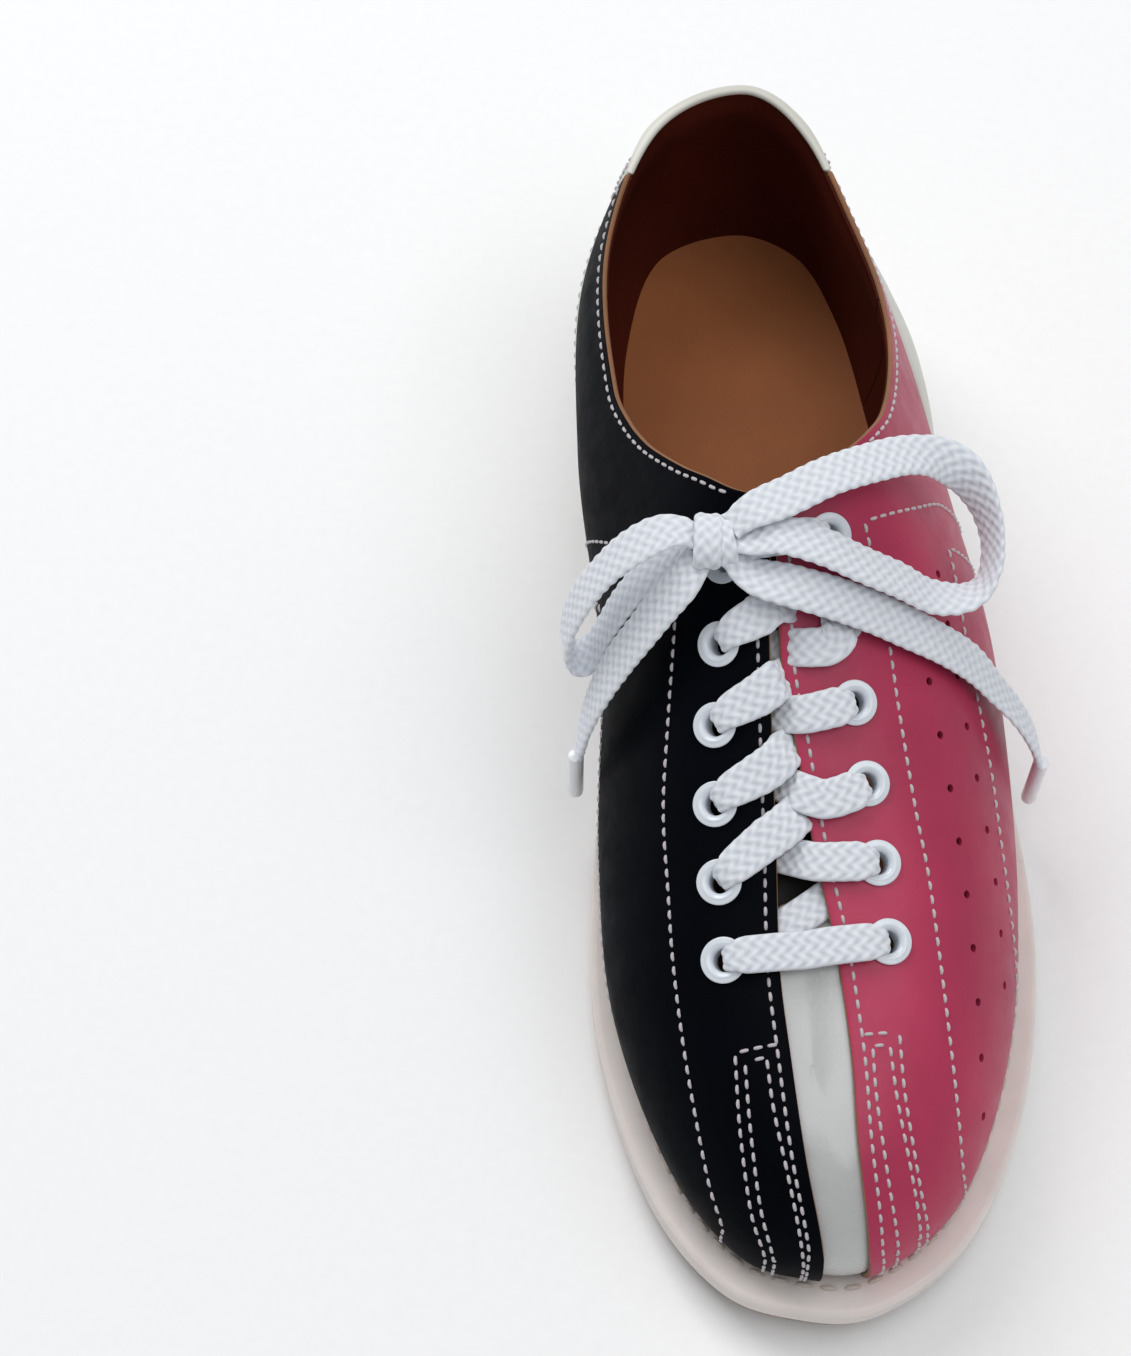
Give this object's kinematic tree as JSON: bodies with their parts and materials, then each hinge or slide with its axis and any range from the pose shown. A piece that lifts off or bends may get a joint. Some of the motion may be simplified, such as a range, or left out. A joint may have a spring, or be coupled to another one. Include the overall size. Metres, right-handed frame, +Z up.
{
  "type": "bowling shoe",
  "caption": "Left lace-up bowling shoe with a two-colour leather upper, cream centre strip, flat slide sole, rubber heel and tied flat laces.",
  "frame": {"origin": "middle of the sole's outline, on the floor", "axes": "+Y towards the heel along the shoe, +X towards the outer side of the foot, +Z up; the toe points to -Y"},
  "size_m": [0.1151, 0.2948, 0.106],
  "materials": {
    "navy_leather": "semi-gloss",
    "crimson_leather": "semi-gloss",
    "cream_leather": "gloss",
    "white_leather": "semi-gloss",
    "lining": "matte",
    "stiffener_board": "matte",
    "tongue_leather": "matte",
    "slide_leather": "suede",
    "sole_unit": "satin",
    "heel_rubber": "matte",
    "filler_foam": "matte",
    "shank_steel": "brushed",
    "sock_leather": "satin",
    "eyelet_enamel": "gloss",
    "lace_cotton": "matte",
    "aglet_plastic": "gloss"
  },
  "bodies": {
    "shoe": {"medial_panel": "navy_leather", "lateral_panel": "crimson_leather", "vamp_strip": "cream_leather", "heel_counter_cover": "white_leather", "heel_collar": "white_leather", "counter_stiffener": "stiffener_board", "toe_puff": "stiffener_board", "vamp_lining": "lining", "medial_quarter_lining": "lining", "lateral_quarter_lining": "lining", "heel_lining": "lining", "medial_facing_backer": "stiffener_board", "lateral_facing_backer": "stiffener_board", "slide_sole": "slide_leather", "midsole": "sole_unit", "heel_block": "sole_unit", "heel_top_lift": "heel_rubber", "forefoot_filler": "filler_foam", "shank": "shank_steel", "insole_board": "stiffener_board", "sock_liner": "sock_leather", "eyelet_medial_1": "eyelet_enamel", "eyelet_medial_2": "eyelet_enamel", "eyelet_medial_3": "eyelet_enamel", "eyelet_medial_4": "eyelet_enamel", "eyelet_medial_5": "eyelet_enamel", "eyelet_medial_6": "eyelet_enamel", "eyelet_lateral_1": "eyelet_enamel", "eyelet_lateral_2": "eyelet_enamel", "eyelet_lateral_3": "eyelet_enamel", "eyelet_lateral_4": "eyelet_enamel", "eyelet_lateral_5": "eyelet_enamel", "eyelet_lateral_6": "eyelet_enamel", "lace_bar": "lace_cotton", "lace_run_medial_2": "lace_cotton", "lace_run_lateral_2": "lace_cotton", "lace_run_medial_3": "lace_cotton", "lace_run_lateral_3": "lace_cotton", "lace_run_medial_4": "lace_cotton", "lace_run_lateral_4": "lace_cotton", "lace_run_medial_5": "lace_cotton", "lace_run_lateral_5": "lace_cotton", "lace_to_knot": "lace_cotton", "lace_knot": "lace_cotton", "lace_loop_medial": "lace_cotton", "lace_loop_lateral": "lace_cotton", "lace_tail_medial": "lace_cotton", "lace_tail_lateral": "lace_cotton", "aglet_medial": "aglet_plastic", "aglet_lateral": "aglet_plastic"},
    "tongue": {"tongue_outer": "tongue_leather", "tongue_lining": "lining"}
  },
  "joints": [
    {"name": "tongue_bend", "type": "hinge", "parent": "shoe", "child": "tongue", "pos_m": [-0.0105, -0.06, 0.055], "axis": [1, 0, 0], "range_deg": [-10, 1], "stiffness_Nm_per_rad": 0.5}
  ]
}
